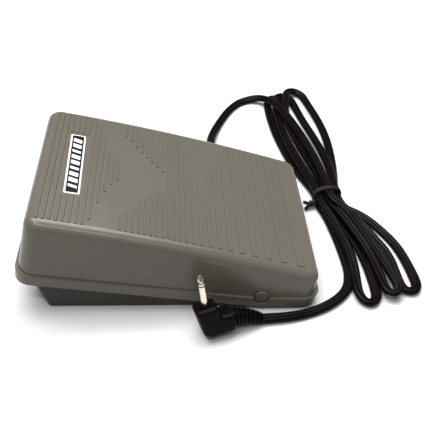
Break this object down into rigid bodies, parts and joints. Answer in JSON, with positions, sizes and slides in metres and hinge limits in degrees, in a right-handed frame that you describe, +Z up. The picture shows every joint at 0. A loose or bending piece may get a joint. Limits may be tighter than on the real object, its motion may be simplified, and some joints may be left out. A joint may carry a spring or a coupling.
{
  "type": "sewing machine foot pedal",
  "caption": "Wedge-shaped sewing machine foot pedal: ribbed treadle cover hinged on a low base, speed control inside, flat cord tied in a hank, right-angle plug.",
  "frame": {"origin": "centre of the pedal's footprint on the floor, at rest, without the cord and plug", "axes": "+X along the length towards the low, hinged end, +Y towards the wall where the cord leaves, +Z up"},
  "size_m": [0.2889, 0.3221, 0.0779],
  "materials": {
    "cover_plastic": "moulded taupe-grey plastic, fine texture, soft sheen",
    "base_plastic": "moulded dark grey-brown plastic",
    "label_white": "white label border",
    "label_black": "black printed field, satin",
    "rubber_black": "matt black rubber",
    "spring_steel": "bright spring wire",
    "steel": "zinc plated",
    "pot_metal": "stamped can, satin",
    "brass": "tinned brass tags",
    "lever_plastic": "natural nylon",
    "board_laminate": "phenolic laminate",
    "resistor_body": "lacquered",
    "capacitor_sleeve": "shrink sleeve",
    "trimmer_blue": "moulded",
    "terminal_green": "moulded",
    "wire_insulation": "PVC insulation",
    "cord_pvc": "black PVC, satin",
    "tie_plastic": "plastic-coated wire",
    "plug_pvc": "moulded black PVC",
    "plug_metal": "nickel plated",
    "plug_insulator": "black insulating ring",
    "rating_foil": "blank foil plate"
  },
  "bodies": {
    "base": {"base_housing": "base_plastic", "bottom_plate": "base_plastic", "bottom_screws": "steel", "rubber_feet": "rubber_black", "rating_plate": "rating_foil", "hinge_pin_front": "cover_plastic", "hinge_pin_rear": "cover_plastic", "return_spring_front": "spring_steel", "return_spring_rear": "spring_steel", "stop_bumpers": "rubber_black", "pot_case": "pot_metal", "pot_bracket": "steel", "pot_nut": "steel", "pot_terminals": "brass", "pot_leads": "wire_insulation", "circuit_board": "board_laminate", "board_screws": "steel", "resistors": "resistor_body", "capacitor": "capacitor_sleeve", "trimmer": "trimmer_blue", "terminal_block": "terminal_green", "terminal_screws": "steel", "cord_gland": "plug_pvc", "cord_stub": "cord_pvc", "cord_clamp": "base_plastic", "clamp_screws": "steel", "inner_leads": "wire_insulation", "cord_lead": "cord_pvc", "cord_hank": "cord_pvc", "cord_tie": "tie_plastic", "cord_tail": "cord_pvc", "plug_body": "plug_pvc", "plug_boot": "plug_pvc", "plug_sleeve": "plug_metal", "plug_ring": "plug_insulator", "plug_tip": "plug_metal"},
    "cover": {"pedal_cover": "cover_plastic", "label_plate": "label_white", "label_field": "label_black", "drive_bracket": "steel", "drive_pin": "steel", "bracket_screws": "steel"},
    "lever": {"speed_lever": "lever_plastic", "pot_shaft": "steel"}
  },
  "joints": [
    {"name": "pedal_press", "type": "hinge", "parent": "base", "child": "cover", "pos_m": [0.0625, 0, 0.0127], "axis": [0, -1, 0], "range_deg": [0, 8.5], "stiffness_Nm_per_rad": 8.1, "springref_deg": -5.61, "deforming": ["return_spring_front", "return_spring_rear"]},
    {"name": "lever_turn", "type": "hinge", "parent": "base", "child": "lever", "pos_m": [-0.01, 0, 0.0174], "axis": [0, -1, 0], "range_deg": [0, 35.71]}
  ],
  "couplings": [
    {"joint": "lever_turn", "follows": "pedal_press", "ratio": 4.201}
  ]
}
